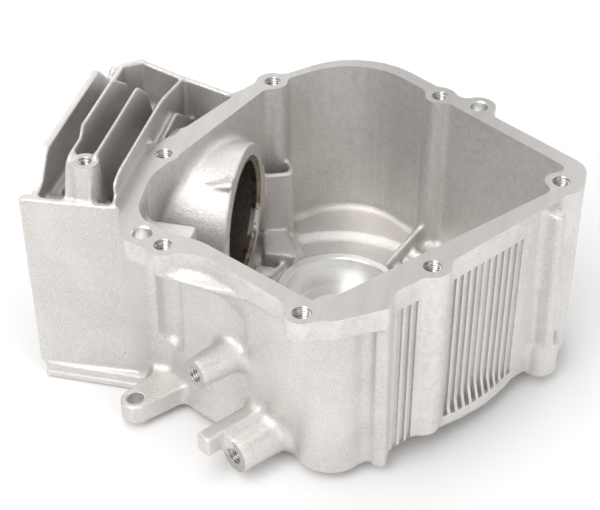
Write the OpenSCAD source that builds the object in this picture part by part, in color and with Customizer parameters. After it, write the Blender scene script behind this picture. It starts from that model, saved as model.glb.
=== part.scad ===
// Single-cylinder engine block for a vertical crankshaft: one aluminium die casting with a cast-in iron liner.
// Origin: crank axis at the mouth of the main bearing bore. Z up, cylinder bore along X, head towards -X.

/* [Case] */
// Height of the mouth of the main bearing above the base plate's underside
mouth_h = 14; // [12:0.5:18]
// Height of the crankcase from its round base plate to the gasket face
case_h = 103; // [98:1:108]
// Thickness of the sump flange
flange_t = 12; // [8:1:16]
// Radius of the round base plate
base_r = 104.5; // [100:0.5:108]
// How far the feet stand out below the base plate
feet_h = 8.5; // [6:0.5:10]
// Wall thickness of the crankcase below the flange
wall_t = 5; // [4:0.5:7]
// Height of the crankcase floor above the base plate's underside
floor_h = 9; // [7:0.5:12]

/* [Main bearing] */
// Radius of the seat of the crankshaft ball bearing
bearing_r = 29; // [25:0.5:31]
// Length of the seat of the crankshaft ball bearing
bearing_len = 16; // [12:1:18]
// Radius of the oil seal bore below the bearing
seal_r = 19; // [15:0.5:24]
// Radius of the boss round the bearing at its top
bearing_boss_r = 33; // [32:0.5:36]

/* [Cylinder] */
// Depth of the cylinder axis below the gasket face
bore_depth = 48.5; // [46:0.5:52]
// Radius of the honed bore
bore_r = 30; // [28:0.5:32]
// Wall thickness of the iron liner
liner_t = 3; // [2:0.5:4]
// Radius of the aluminium barrel round the liner
barrel_r = 39.5; // [38:0.5:42]
// Place of the crankcase end of the barrel
barrel_end_x = -50.8; // [-56:0.2:-48]
// Place of the cylinder head face
deck_x = -138; // [-142:0.5:-134]
// Thickness of the cylinder head deck
deck_t = 9; // [7:0.5:11]
// Half pitch of the four head bolts
head_bolt_half = 33; // [31:0.5:36]

/* [Cooling fins] */
// Thickness of a fin at its top edge
fin_t = 2; // [1.6:0.1:3]
// Height of the highest point of the fins above the gasket face
fin_top = 24; // [18:1:28]
// How far the fins and plates reach below the base plate
fin_foot = 1; // [0:0.5:4]
// Thickness of the near and far side plates
plate_t = 3.5; // [3:0.5:5]

/* [Fastening] */
// Radius of the drilled core of a threaded flange hole
flange_tap_r = 3.4; // [3:0.1:4]
// Depth of a threaded flange hole
flange_tap_depth = 20; // [14:1:30]
// Radius of the chamfer at a threaded flange hole
flange_mouth_r = 4.2; // [3.8:0.1:5]
// Radius of a dowel hole
dowel_r = 4.5; // [3:0.1:5]
// Depth of a dowel hole
dowel_depth = 9; // [6:1:14]
// Radius of the drilled core of a threaded side hole
side_tap_r = 3.4; // [2.5:0.1:4]
// Radius of the through hole of the mounting ear
ear_hole_r = 4.2; // [3:0.1:5]
// Radius of the drilled core of a head bolt hole
head_tap_r = 3.4; // [3:0.1:4]

/* [Outer ribs] */
// Distance between two grooves of the ribbed wall
groove_pitch = 4.6; // [4:0.1:6]
// Half width of a groove of the ribbed wall
groove_r = 1.35; // [1:0.05:1.8]
// Depth of a groove of the ribbed wall
groove_depth = 1.8; // [1:0.1:2.5]

/* [Show] */
// Which node is drawn

/* [Hidden] */
$fn = 96;
small_fn = 40;
over = 1;
arc_n = 7;
fillet_r = 6;
liner_r = bore_r + liner_t;
gasket_z = case_h - mouth_h;
floor_depth = case_h - floor_h;
fin_low = case_h + fin_foot;
bore_z = gasket_z - bore_depth;
rest_depth = case_h + feet_h;
bore_chamfer = 1.6;
tap_mouth = flange_mouth_r - flange_tap_r;

// The direction the side bosses point in: square to the ribbed wall's length
side_angle = -126;
ribbed_start = [54, -95.8];

// Sump flange: [x, y, corner radius], anticlockwise
flange_corners = [
    [121.5, 14.6, 14], [-8, 106, 42], [-61, 53, 10], [-97, -27.5, 30], [-97, -62, 22],
    [-84, -96, 10], [-66, -101, 5], [-44, -98.5, 30], [-3, -122, 10], [8, -133, 8],
    [24, -132, 12], [46, -117.5, 1.5], [46, -106, 3], [54, -96.5, 3], [121.5, -2.6, 10]
];
inner_corners = [
    [111.5, 11, 5], [-8.9, 98, 39], [-49.6, 57.4, 8], [-80, -25, 20], [-86.8, -42, 30],
    [-84, -82, 25], [-48, -88.5, 30], [15, -122, 8], [105.5, -12, 8]
];
// Shoulder of the near wall right of the recess
shoulder_top = [[-27, -88, 0], [-22.5, -107, 7], [-7, -116.5, 8], [8, -120, 0], [8, -88, 0]];
shoulder_low = [[-27, -88, 0], [-22, -98, 5], [-7, -106, 8], [8, -112, 0], [8, -88, 0]];
shoulder_low_depth = case_h + 4;

// Threaded flange holes: [x, y, lug radius, radius of the boss inside the case]
flange_holes = [
    [-50.4, 59.7, 8.7, 8.3], [40, 64.9, 9, 7.8], [109.9, -2, 11.5, 8], [59.3, -83.5, 8.7, 8.5],
    [9.2, -129, 8, 0], [-64.1, -95.3, 8.5, 8.6], [-86.4, -21.9, 9, 8]
];
near_dowel = [-76.3, -88.4, 9, 8.6];
far_dowel = [61.7, 59.2, 8.8, 0];
dowel_holes = [near_dowel, far_dowel];

function unit(v) = v / norm(v);
function cross2(a, b) = a[0] * b[1] - a[1] * b[0];

// Points of the arc of radius r that rounds the corner b between the neighbours a and c
function corner_arc(a, b, c, r) =
    let (
        u = unit(a - b),
        v = unit(c - b),
        half = acos(u * v) / 2,
        centre = b + unit(u + v) * r / sin(half),
        first = b + u * r / tan(half) - centre,
        start = atan2(first[1], first[0]),
        sweep = -sign(cross2(u, v)) * (180 - 2 * half)
    )
    [for (i = [0:arc_n]) centre + r * [cos(start + sweep * i / arc_n), sin(start + sweep * i / arc_n)]];

function flat(p) = [p[0], p[1]];

// An outline from corners [x, y, radius]: sharp where the radius is 0
function rounded(pts) =
    let (n = len(pts))
    [
        for (i = [0:n - 1])
            let (a = flat(pts[(i + n - 1) % n]), b = flat(pts[i]), c = flat(pts[(i + 1) % n]))
            each (pts[i][2] > 0 ? corner_arc(a, b, c, pts[i][2]) : [b])
    ];

module flange_plan() {
    offset(r = -fillet_r)
    offset(r = fillet_r)
    union() {
        polygon(rounded(flange_corners));
        for (h = flange_holes) translate([h[0], h[1]]) circle(r = h[2], $fn = small_fn);
        for (h = dowel_holes) translate([h[0], h[1]]) circle(r = h[2], $fn = small_fn);
    }
}

module inner_plan() {
    difference() {
        polygon(rounded(inner_corners));
        for (h = flange_holes) if (h[3] > 0) translate([h[0], h[1]]) circle(r = h[3], $fn = small_fn);
        translate([near_dowel[0], near_dowel[1]]) circle(r = near_dowel[3], $fn = small_fn);
    }
}

// Plan of the case walls under the flange
recess_edge_y = -72;
recess_wall_r = 101.5;
corner_post = [17, -100];
corner_post_r = 18.5;
corner_post_taper = 1.5;
flange_reach = 40;
web_x = 40;
web_w = 6;
web_lead = 4;

module wall_plan() {
    intersection() {
        flange_plan();
        union() {
            translate([-base_r - over, recess_edge_y]) square([2 * base_r + flange_reach, 2 * base_r]);
            circle(r = recess_wall_r);
            translate(corner_post) circle(r = corner_post_r);
            translate([web_x - web_lead, -base_r]) square([base_r, base_r]);
        }
    }
}

// Solid corner pad inside the case, behind the near left screw
pad_corner = [-60, -56];
pad_w = 40;

module cavity_plan() {
    difference() {
        cavity_outline();
        translate([pad_corner[0] - pad_w, pad_corner[1] - pad_w]) square(pad_w);
    }
}

module cavity_outline() {
    intersection() {
        inner_plan();
        offset(r = -wall_t) difference() {
            wall_plan();
            translate(scoop) circle(r = scoop_r, $fn = small_fn);
        }
    }
}

// A tapering round boss from one point to another, both in the case frame
module boss_between(a, b, r_root, r_tip) {
    d = b - a;
    len = norm(d);
    translate(a) rotate([0, acos(d[2] / len), atan2(d[1], d[0])]) cylinder(h = len, r1 = r_root, r2 = r_tip);
}

// A standing wall of even thickness between two points of the plan
module rib(a, b, t, z0, z1, z2) {
    d = b - a;
    translate([a[0], a[1], 0])
        rotate([90, 0, atan2(d[1], d[0])])
        translate([0, 0, -t / 2])
        linear_extrude(height = t)
        polygon([[0, z0], [norm(d), z0], [norm(d), z2], [0, z1]]);
}

module flange() {
    translate([0, 0, -flange_t]) linear_extrude(height = flange_t) flange_plan();
}

module case_wall() {
    translate([0, 0, -case_h]) linear_extrude(height = case_h - flange_t + over) wall_plan();
}

// Round base: the wall swells out to it, and a lip stands below it on the cylinder side
swell_h = 19;
swell_in = 5;
lip_t = 5;
lip_w = 7;
trim_top = case_h - 5;
trim_plan = [[45.8, -60], [45.8, -125], [100, -80], [80, -60]];

module base_disc() {
    translate([0, 0, -case_h]) cylinder(h = swell_h, r1 = base_r, r2 = base_r - swell_in, $fn = 180);
    intersection() {
        translate([0, 0, -case_h - lip_t]) difference() {
            cylinder(h = lip_t + over, r = base_r, $fn = 180);
            translate([0, 0, -over]) cylinder(h = lip_t + 3 * over, r = base_r - lip_w, $fn = 180);
        }
        translate([0, 0, -case_h - lip_t - over]) linear_extrude(height = lip_t + 3 * over)
            polygon([[0, 0], [-35, -130], [-130, -130], [-130, 130], [-20, 130]]);
    }
}

module shoulder() {
    hull() {
        translate([0, 0, -flange_t]) linear_extrude(height = 1) polygon(rounded(shoulder_top));
        translate([0, 0, -shoulder_low_depth]) linear_extrude(height = 1) polygon(rounded(shoulder_low));
    }
}

// The walls right of the corner post end on the round base
module corner_trim() {
    difference() {
        translate([0, 0, -rest_depth - over]) linear_extrude(height = rest_depth + over - trim_top)
            polygon(trim_plan);
        translate([0, 0, -rest_depth - 2 * over]) cylinder(h = rest_depth, r = base_r - 0.5, $fn = 180);
    }
}

// Ribbed wall: grooves cut into the wall, arched off above the base
groove_first = 25.5;
groove_count = 11;
groove_top = 12;
groove_low = case_h - 6;
groove_open = 3;
left_groove_first = -8.5;
left_groove_count = 3;

module groove(s) {
    translate([ribbed_start[0], ribbed_start[1], -groove_low])
        rotate([0, 0, 180 + side_angle])
        translate([s, groove_depth - groove_r, 0]) {
            cylinder(h = groove_low - groove_top, r = groove_r, $fn = 24);
            translate([-groove_r, -groove_open, 0]) cube([2 * groove_r, groove_open, groove_low - groove_top]);
        }
}

module grooves() {
    for (i = [0:groove_count - 1]) groove(groove_first + groove_pitch * i);
    for (i = [0:left_groove_count - 1]) groove(left_groove_first + groove_pitch * i);
}

// Columns under the flange holes
column_r = 5.5;
h3_column_r = 11;
h3_column_taper = 2;
ridge_root = [98, -18];
ridge_top = [111.2, -26];
ridge_low = [113.4, -22.5];
ridge_w = 7;
foot = [110, -17.5];
foot_r = 9.5;
foot_top = case_h - 17;
foot_low = 3;
ridge_top_gap = 3.5;
root_top_gap = 2.5;
foot_web = [96, -25];
foot_web_w = 16;
wall_peg = [116, 14, -72];
wall_peg_size = [5, 4, 5];
wall_peg_turn = 20;
// Side view of the web beside the corner post: [y, z]
web_top_y = -117.2;
web_low_y = -108;
web_back_y = -90;

module columns_outside() {
    translate([flange_holes[3][0], flange_holes[3][1], -case_h])
        cylinder(h = case_h - over, r = column_r, $fn = small_fn);
    translate([flange_holes[2][0], flange_holes[2][1], -foot_top - over])
        cylinder(h = foot_top, r1 = h3_column_r - h3_column_taper, r2 = h3_column_r, $fn = small_fn);
    translate([corner_post[0], corner_post[1], -shoulder_low_depth])
        cylinder(h = shoulder_low_depth - over, r1 = corner_post_r, r2 = corner_post_r + corner_post_taper);
    translate([web_x, 0, 0]) rotate([90, 0, 90]) linear_extrude(height = web_w)
        polygon([
            [web_top_y, -flange_t + over], [web_low_y, -shoulder_low_depth],
            [web_back_y, -shoulder_low_depth], [web_back_y, -flange_t + over]
        ]);
    shoulder();
}

module ridge_and_foot() {
    hull() {
        translate([ridge_top[0], ridge_top[1], -ridge_top_gap]) cylinder(h = 1, r = ridge_w / 2, $fn = 24);
        translate([ridge_low[0], ridge_low[1], -case_h]) cylinder(h = 1, r = ridge_w / 2, $fn = 24);
        translate([ridge_root[0], ridge_root[1], -case_h])
            cylinder(h = case_h - root_top_gap, r = ridge_w / 2, $fn = 24);
    }
    translate([foot[0], foot[1], -case_h - foot_low])
        cylinder(h = case_h + foot_low - foot_top, r = foot_r, $fn = small_fn);
    translate([foot_web[0], foot_web[1], -case_h]) cube([foot_web_w, foot_web_w, case_h - foot_top]);
    translate(wall_peg) rotate([0, 0, wall_peg_turn]) cube(wall_peg_size);
}

// Recess in the near wall: a sloping roof under the flange with a rounded corner
roof_low = 25;
roof_corner_low = 40;
roof_top_plan = [[-60, -80], [-24, -80], [-20, -120], [-72, -120]];
roof_low_plan = [[-60, -80], [-24, -80], [-24, -120], [-66, -120]];
// Blocks that the rounded corner of the roof is drawn round: [place, size]
roof_corner_blocks = [
    [[-38, -92, -roof_low], [16, 2, 1]],
    [[-31, -94, -roof_low - 4], [8, 0.5, 1]],
    [[-25, -95.5, -roof_corner_low], [2, 0.5, 1]],
    [[-24, -108, -flange_t - 6], [2, 12, 1]],
    [[-38, -101, -flange_t - 2], [2, 2, 1]]
];

module recess_roof() {
    hull() {
        translate([0, 0, -flange_t]) linear_extrude(height = 1) intersection() {
            flange_plan();
            polygon(roof_top_plan);
        }
        translate([0, 0, -roof_low]) linear_extrude(height = 1) intersection() {
            circle(r = recess_wall_r);
            polygon(roof_low_plan);
        }
    }
    hull() {
        for (b = roof_corner_blocks) translate(b[0]) cube(b[1]);
    }
}

// Round channel between the near plate and the recess
scoop = [-70.5, -77];
scoop_r = 9;
scoop_low = 72;
scoop_top = 6;

module near_scoop() {
    translate([scoop[0], scoop[1], -scoop_low]) sphere(r = scoop_r, $fn = small_fn);
    translate([scoop[0], scoop[1], -scoop_low])
        cylinder(h = scoop_low - flange_t - scoop_top, r = scoop_r, $fn = small_fn);
    translate([scoop[0], scoop[1], -flange_t - scoop_top]) sphere(r = scoop_r - 0.5, $fn = small_fn);
}

// Side bosses, stop bar and mounting ear
boss_1 = [[-34.4, -99.2, -58.7], [-45.9, -114.9, -58.7]];
boss_2_depth = case_h - 5.2;
boss_2 = [[-9.8, -104.5, -boss_2_depth], [-24.8, -125.2, -boss_2_depth]];
boss_1_r = 7.6;
boss_2_r = 8.7;
boss_root_more = 1.8;
boss_back = 12;
side_dir = [cos(side_angle), sin(side_angle), 0];
bar_tip = [-39, -130];
bar_w = 8.2;
bar_len = 40;
bar_top = case_h - 19;
bar_low = case_h - 8;
ear_hole = [-83.4, -97.3];
ear_r = 8;
ear_top = case_h - 6;
ear_low = case_h + 5.3;
ear_root = [[-77.5, -70], [-60, -70], [-60, -82], [-66, -77.5], [-72, -75.5], [-77.5, -76.5]];

module side_bosses() {
    boss_between(boss_1[0] - side_dir * boss_back, boss_1[1], boss_1_r + boss_root_more, boss_1_r);
    boss_between(boss_2[0] - side_dir * boss_back, boss_2[1], boss_2_r + boss_root_more, boss_2_r);
    translate([bar_tip[0], bar_tip[1], -bar_low])
        rotate([0, 0, side_angle + 180])
        translate([0, -bar_w / 2, 0])
        cube([bar_len, bar_w, bar_low - bar_top]);
    translate([0, 0, -ear_low]) linear_extrude(height = ear_low - ear_top) hull() {
        translate(ear_hole) circle(r = ear_r, $fn = small_fn);
        polygon(ear_root);
    }
}

// Cooling fins: [left edge x, outline [y, z, corner radius]]
fins = [
    [-136.8, [
        [-72, -fin_low, 0], [-72, -0.5, 0], [-63, 1, 8], [-51, 15, 6], [24, 16, 7], [43, -2, 3], [43, -fin_low, 0]
    ]],
    [-121.5, [
        [-71, -fin_low, 0], [-71, -2, 0], [-64, 19, 8], [-45, 19, 3], [-41, fin_top, 3], [4, fin_top, 12],
        [24, 10, 6], [32, -16, 8], [45, -20, 0], [45, -fin_low, 0]
    ]],
    [-109.4, [
        [-71, -fin_low, 0], [-71, -2, 0], [-69, 8, 4], [-58, 19, 4], [7, 19.5, 9],
        [21, 7, 9], [30, -14, 8], [45, -18, 0], [45, -fin_low, 0]
    ]],
    [-97.6, [
        [-70.5, -fin_low, 0], [-70.5, -1, 0], [-67, 10, 6], [-57, 12.5, 6], [10, 12, 30], [45, 4.5, 0], [45, -fin_low, 0]
    ]],
    [-92.6, [
        [-60, -fin_low, 0], [-60, -20, 0], [-16, -1, 4], [17, 0.5, 12], [34, -12, 8], [45, -22, 0], [45, -fin_low, 0]
    ]]
];

module fin(f) {
    translate([f[0], 0, 0]) rotate([90, 0, 90]) linear_extrude(height = fin_t) polygon(rounded(f[1]));
}

near_plate_y = -75;
near_plate_x = -143.4;
near_plate_top = 0.6;
near_rail_x = -140;
near_rail_len = 64;
near_rail_t = 3.5;
far_plate_y = 43.3;
far_plate_top = 12.5;
// Top edge of the far plate: [x, z]
far_plate_edge = [[-50, -20], [-69, -2], [-99, 6], [-118, 12], [-121, 12.3]];
far_bend = [-118.5, -127.5];
far_bend_y = 38;
far_tab = [-137, 41];
far_tab_top = 5.5;
pushrod_block = [-75, -50, -70, -6];
fin_post = [-112.6, -61.5];
fin_post_top = 17;
fin_post_r = 6.9;

module near_plate() {
    translate([0, 0, -fin_low]) linear_extrude(height = fin_low - near_plate_top) polygon([
        [near_plate_x, near_plate_y], [-93, -72], [-66, -70.5],
        [-66, -66], [near_plate_x, near_plate_y + plate_t + 0.5]
    ]);
    // Rail under the near plate, with a wider sole
    translate([near_rail_x, near_plate_y - 1.4, -rest_depth + near_rail_t - 0.5])
        cube([near_rail_len, 8, rest_depth - near_rail_t + 0.5 - fin_low + over]);
    translate([near_rail_x, near_plate_y - 3, -rest_depth]) cube([near_rail_len, 10, near_rail_t]);
}

module far_plate() {
    translate([0, far_plate_y + plate_t, 0]) rotate([90, 0, 0]) linear_extrude(height = plate_t)
        polygon(concat([[-50, -fin_low]], far_plate_edge, [[-121, -fin_low]]));
    translate([0, 0, -fin_low]) linear_extrude(height = fin_low + far_plate_top) hull() {
        translate([far_bend[0], far_plate_y + plate_t / 2]) circle(r = plate_t / 2, $fn = 16);
        translate([far_bend[1], far_bend_y]) circle(r = plate_t / 2, $fn = 16);
    }
    rib([far_bend[1], far_bend_y + 0.5], [far_bend[1], 20], plate_t, -fin_low, far_plate_top, far_plate_top);
    translate([far_tab[0], far_tab[1], -fin_low]) cube([4, 7, fin_low + far_tab_top]);
}

deck_near_y = -73;
deck_w = 116;
deck_top = 8;
deck_skin = 2.4;

module deck() {
    translate([deck_x, deck_near_y, -fin_low]) cube([deck_t, deck_w, fin_low - deck_top]);
    translate([deck_x, 0, 0]) rotate([90, 0, 90]) linear_extrude(height = deck_skin) polygon(rounded(fins[0][1]));
}

head_column_r = 8;
head_column_len = 30;
barrel_root_x = -60;
wall_web = [-96, -40];
wall_web_size = [4, 26];
wall_web_top = 6;
pushrod_len = 60;
pushrod_top_r = 9;
fin_post_root_r = 10.2;
fin_post_root = 16;

module cylinder_side() {
    translate([deck_x, 0, -bore_depth]) rotate([0, 90, 0]) cylinder(h = barrel_root_x - deck_x, r = barrel_r);
    for (y = [-head_bolt_half, head_bolt_half]) for (z = [-head_bolt_half, head_bolt_half])
        translate([deck_x, y, -bore_depth + z]) rotate([0, 90, 0])
        cylinder(h = head_column_len, r = head_column_r, $fn = small_fn);
    for (f = fins) fin(f);
    translate([wall_web[0], wall_web[1], -fin_low])
        cube([wall_web_size[0], wall_web_size[1], fin_low - wall_web_top]);
    deck();
    near_plate();
    far_plate();
    translate([deck_x, pushrod_block[0] + 4, pushrod_block[2]])
        cube([
            pushrod_len,
            pushrod_block[1] - pushrod_block[0] - 4,
            pushrod_block[3] - pushrod_block[2] - pushrod_top_r
        ]);
    translate([deck_x, pushrod_block[0] + 12, pushrod_block[3] - pushrod_top_r])
        rotate([0, 90, 0]) cylinder(h = pushrod_len, r = pushrod_top_r);
    translate([fin_post[0], fin_post[1], -fin_post_root])
        cylinder(h = fin_post_root + fin_post_top, r1 = fin_post_root_r, r2 = fin_post_r, $fn = small_fn);
}

// Inside of the case
floor_ring_r = 62.9;
dish_r = 56.7;
dish_depth = floor_depth + 3;
shelf = 16.5;

module cavity() {
    translate([0, 0, -shelf]) linear_extrude(height = shelf + over) inner_plan();
    translate([0, 0, -floor_depth]) linear_extrude(height = floor_depth - shelf + over) cavity_plan();
    translate([0, 0, -dish_depth]) cylinder(h = dish_depth - floor_depth + over, r1 = dish_r, r2 = floor_ring_r);
}

wedge_angle = 31;
wedge_x = -65.5;
wedge_w = 3.4;
wedge_h = 3;

module barrel_inside() {
    intersection() {
        translate([-100, 0, -bore_depth]) rotate([0, 90, 0])
            cylinder(h = barrel_end_x + 100, r = barrel_r, $fn = 128);
        translate([0, 0, -case_h + over]) linear_extrude(height = case_h) flange_plan();
    }
    // Wedge on top of the barrel end
    translate([0, 0, -bore_depth]) rotate([wedge_angle, 0, 0]) intersection() {
        translate([0, wedge_w, 0]) rotate([90, 0, 0]) linear_extrude(height = 2 * wedge_w) polygon([
            [wedge_x, barrel_r - over], [barrel_end_x, barrel_r - over],
            [barrel_end_x, barrel_r + wedge_h], [wedge_x, barrel_r]
        ]);
        linear_extrude(height = 2 * barrel_r)
            polygon([[wedge_x, -wedge_w], [barrel_end_x, -wedge_w], [barrel_end_x, wedge_w]]);
    }
}

module inside_columns() {
    for (i = [0, 1]) translate([flange_holes[i][0], flange_holes[i][1], -floor_depth - over])
        cylinder(h = floor_depth, r = flange_holes[i][3], $fn = small_fn);
}

// Everything that stands on the floor starts inside the floor plate
floor_root = dish_depth + 0.6;
block_top = floor_depth - 9;
rib_top = floor_depth - 5;
boss_foot = floor_depth + 1;
boss_foot_r = 37.7;
lump_top = floor_depth - 2;

module on_floor(top) {
    translate([0, 0, -floor_root]) linear_extrude(height = floor_root - top) children();
}

module floor_features() {
    translate([0, 0, -boss_foot - 3]) cylinder(h = 3, r1 = 39, r2 = boss_foot_r);
    translate([0, 0, -boss_foot - over])
        cylinder(h = boss_foot + over - gasket_z, r1 = boss_foot_r, r2 = bearing_boss_r);
    // Radial ribs towards the far wall
    rib([-24, 24.5], [-43, 55], 3.2, -floor_root, -rib_top, -rib_top);
    rib([19, 26], [38, 65], 3.4, -floor_root, -rib_top - 0.5, -rib_top + 9);
    rib([31, 47], [43, 42], 3, -floor_root, -rib_top - 1, -rib_top - 1);
    for (p = [[28, 33], [33, 41], [41, 52]])
        translate([p[0], p[1], -floor_root]) cylinder(h = floor_root - lump_top, r1 = 5, r2 = 3, $fn = 24);
    // Trapezoid block in front of the barrel
    on_floor(block_top) polygon([[-50, 32], [-46, 19], [-26, 19], [-39.5, 44], [-50, 42]]);
    on_floor(rib_top) translate([-49, 4]) square(9);
    // Curved ridge beside the bearing boss
    on_floor(rib_top + 1) intersection() {
        difference() {
            circle(r = 41);
            circle(r = 38.6);
        }
        polygon([[0, 0], [-60, 9], [-60, 42]]);
    }
    // Oil pocket beside the column of the far left bolt
    on_floor(48) difference() {
        polygon(rounded([[-56, 38, 0], [-48, 39.5, 1], [-35.5, 44.5, 4], [-36.5, 51, 3], [-43, 62, 0], [-56, 60, 0]]));
        polygon(rounded([[-51, 42.2, 1], [-39.3, 46.6, 2.5], [-39.3, 52, 1], [-44, 58, 1], [-53, 50, 1]]));
    }
}

cam_axis = [-4, -60];
cam_boss_r = 13;
cam_hole_r = 7.5;

module cam_boss() {
    translate([cam_axis[0], cam_axis[1], -floor_depth - over]) cylinder(h = 9, r = cam_boss_r, $fn = small_fn);
}

// Underside: flat floor plate with a rim, plain radial ribs and a seal boss it stands on
plate_low = case_h - 4;
under_boss_r = 30;
under_rim_w = 6;
under_rib_w = 5;
under_h = 16;
under_ribs = 8;

module underside_pocket() {
    difference() {
        translate([0, 0, -case_h - over]) cylinder(h = case_h - plate_low + over, r = base_r - under_rim_w);
        translate([0, 0, -case_h - 2]) cylinder(h = under_h, r = under_boss_r);
        for (i = [0:under_ribs - 1]) rotate([0, 0, 22.5 + 360 / under_ribs * i])
            translate([0, -under_rib_w / 2, -case_h - 2]) cube([base_r, under_rib_w, under_h]);
        translate([cam_axis[0], cam_axis[1], -case_h - 2]) cylinder(h = under_h, r = cam_boss_r, $fn = small_fn);
        for (b = [boss_2[0], boss_1[0]]) translate([b[0], b[1] + 6, -case_h - 2]) cylinder(h = under_h, r = 14);
    }
}

module seal_boss() {
    translate([0, 0, -rest_depth]) cylinder(h = rest_depth - dish_depth, r1 = under_boss_r - 1, r2 = under_boss_r);
}

side_tap_depth = 18;
post_tap_r = 2.5;
head_tap_depth = 25;
mouth_w = 0.8;
dowel_mouth = 0.5;
undercut_r = 26.2;
undercut_t = 1.5;
pushrod_r = 4.5;
pushrod_y = -62;
pushrod_z = [-28, -52];
pushrod_hole_len = 90;

// A threaded hole with a chamfered mouth, cut downwards from the origin
module tapped(r, depth, mouth) {
    translate([0, 0, -depth]) cylinder(h = depth + over, r = r, $fn = small_fn);
    translate([0, 0, -mouth]) cylinder(h = mouth + over, r1 = r, r2 = r + mouth + over, $fn = small_fn);
}

module flange_bores() {
    for (h = flange_holes) translate([h[0], h[1], 0]) tapped(flange_tap_r, flange_tap_depth, tap_mouth);
    for (h = dowel_holes) translate([h[0], h[1], 0]) tapped(dowel_r, dowel_depth, dowel_mouth);
}

module side_bores() {
    for (b = [boss_1, boss_2]) translate(b[1]) rotate([0, 90, side_angle])
        translate([0, 0, -side_tap_depth]) cylinder(h = side_tap_depth + over, r = side_tap_r, $fn = small_fn);
    translate([ear_hole[0], ear_hole[1], -rest_depth]) cylinder(h = 20, r = ear_hole_r, $fn = small_fn);
    translate([fin_post[0], fin_post[1], fin_post_top]) tapped(post_tap_r, side_tap_depth, mouth_w);
}

module bearing_bores() {
    translate([0, 0, -gasket_z - bearing_len]) cylinder(h = bearing_len + 10, r = bearing_r);
    translate([0, 0, -gasket_z - bearing_len - undercut_t]) cylinder(h = 4, r = undercut_r);
    translate([0, 0, -rest_depth - over]) cylinder(h = 30, r = seal_r);
    translate([cam_axis[0], cam_axis[1], -floor_depth - 5]) cylinder(h = 20, r = cam_hole_r, $fn = small_fn);
}

module cylinder_bores() {
    translate([deck_x - over, 0, -bore_depth]) rotate([0, 90, 0])
        cylinder(h = barrel_end_x - deck_x + 2 * over, r = liner_r);
    for (y = [-head_bolt_half, head_bolt_half]) for (z = [-head_bolt_half, head_bolt_half])
        translate([deck_x, y, -bore_depth + z]) rotate([0, -90, 0]) tapped(head_tap_r, head_tap_depth, mouth_w);
    // Pushrod passages from the head face into the crankcase
    for (z = pushrod_z) translate([deck_x - over, pushrod_y, z]) rotate([0, 90, 0])
        cylinder(h = pushrod_hole_len, r = pushrod_r, $fn = small_fn);
}

module block_casting() {
    color("silver") translate([0, 0, gasket_z]) difference() {
        union() {
            difference() {
                union() {
                    difference() {
                        union() {
                            flange();
                            case_wall();
                            columns_outside();
                            recess_roof();
                            cylinder_side();
                        }
                        grooves();
                        near_scoop();
                    }
                    base_disc();
                    ridge_and_foot();
                    side_bosses();
                }
                cavity();
                underside_pocket();
                corner_trim();
            }
            seal_boss();
            barrel_inside();
            inside_columns();
            floor_features();
            cam_boss();
        }
        flange_bores();
        side_bores();
        bearing_bores();
        cylinder_bores();
    }
}

module cylinder_liner() {
    color("dimgray") translate([deck_x, 0, bore_z]) rotate([0, 90, 0]) difference() {
        cylinder(h = barrel_end_x - deck_x, r = liner_r);
        translate([0, 0, -over]) cylinder(h = barrel_end_x - deck_x + 2 * over, r = bore_r);
        translate([0, 0, barrel_end_x - deck_x - bore_chamfer])
            cylinder(h = bore_chamfer + over, r1 = bore_r, r2 = bore_r + bore_chamfer + over);
    }
}

block_casting();
cylinder_liner();
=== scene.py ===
"""Looks of a die-cast engine block: the casting with its fillets, machined faces and threads,
the honed liner, a bead of sealant, and the studio round them.

Places and sizes are the drawing's millimetres. MM turns them into the metres that Blender holds.
"""

import itertools
import math

import bpy
import numpy as np
import openvdb
from mathutils import Matrix, Vector


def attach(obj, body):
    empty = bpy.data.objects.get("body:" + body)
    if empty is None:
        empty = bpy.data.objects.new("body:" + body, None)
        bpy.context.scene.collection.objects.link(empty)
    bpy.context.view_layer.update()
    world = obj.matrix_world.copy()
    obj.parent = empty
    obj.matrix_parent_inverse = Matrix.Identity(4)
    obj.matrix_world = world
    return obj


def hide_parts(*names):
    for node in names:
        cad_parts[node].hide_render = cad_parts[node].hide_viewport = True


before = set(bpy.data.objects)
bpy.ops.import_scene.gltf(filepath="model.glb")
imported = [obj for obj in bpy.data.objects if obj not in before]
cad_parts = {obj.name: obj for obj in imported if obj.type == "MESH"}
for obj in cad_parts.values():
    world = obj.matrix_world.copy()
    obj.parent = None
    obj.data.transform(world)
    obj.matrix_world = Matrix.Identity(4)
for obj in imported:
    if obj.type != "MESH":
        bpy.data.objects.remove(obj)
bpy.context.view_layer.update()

MM = 0.001
CRANK_FOOT = (0, 0, 0)
UP = (0, 0, 1)

# Faces and bores of the casting, as in the drawing: z is counted from the mouth of the main bearing
GASKET_Z = 89
REST_Z = -22.5
DECK_X = -138
BORE_Z = 40.5
BORE_FOOT = (0, 0, BORE_Z)
BORE_AXIS = (1, 0, 0)
BORE_R = 30
LINER_R = 33
BARREL_END_X = -50.8
BEARING_R = 29
BEARING_LEN = 16
UNDERCUT_R = 26.2
UNDERCUT_LEN = 1.6
SEAL_R = 19
SEAL_BOSS_R = 29.5
BOSS_TOP_R = 33

# Holes that aren't tapped: place, radius and, for the dowels, depth and chamfer. All are cut BORE_OVER wider.
BORE_OVER = 0.1
EAR_HOLE = (-83.4, -97.3)
EAR_R = 4.2
CAM_AXIS = (-4, -60)
CAM_R = 7.5
DOWEL_HOLES = [(-76.3, -88.4), (61.7, 59.2)]
DOWEL_R = 4.5
DOWEL_DEPTH = 9.2
DOWEL_MOUTH = 0.7

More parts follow.
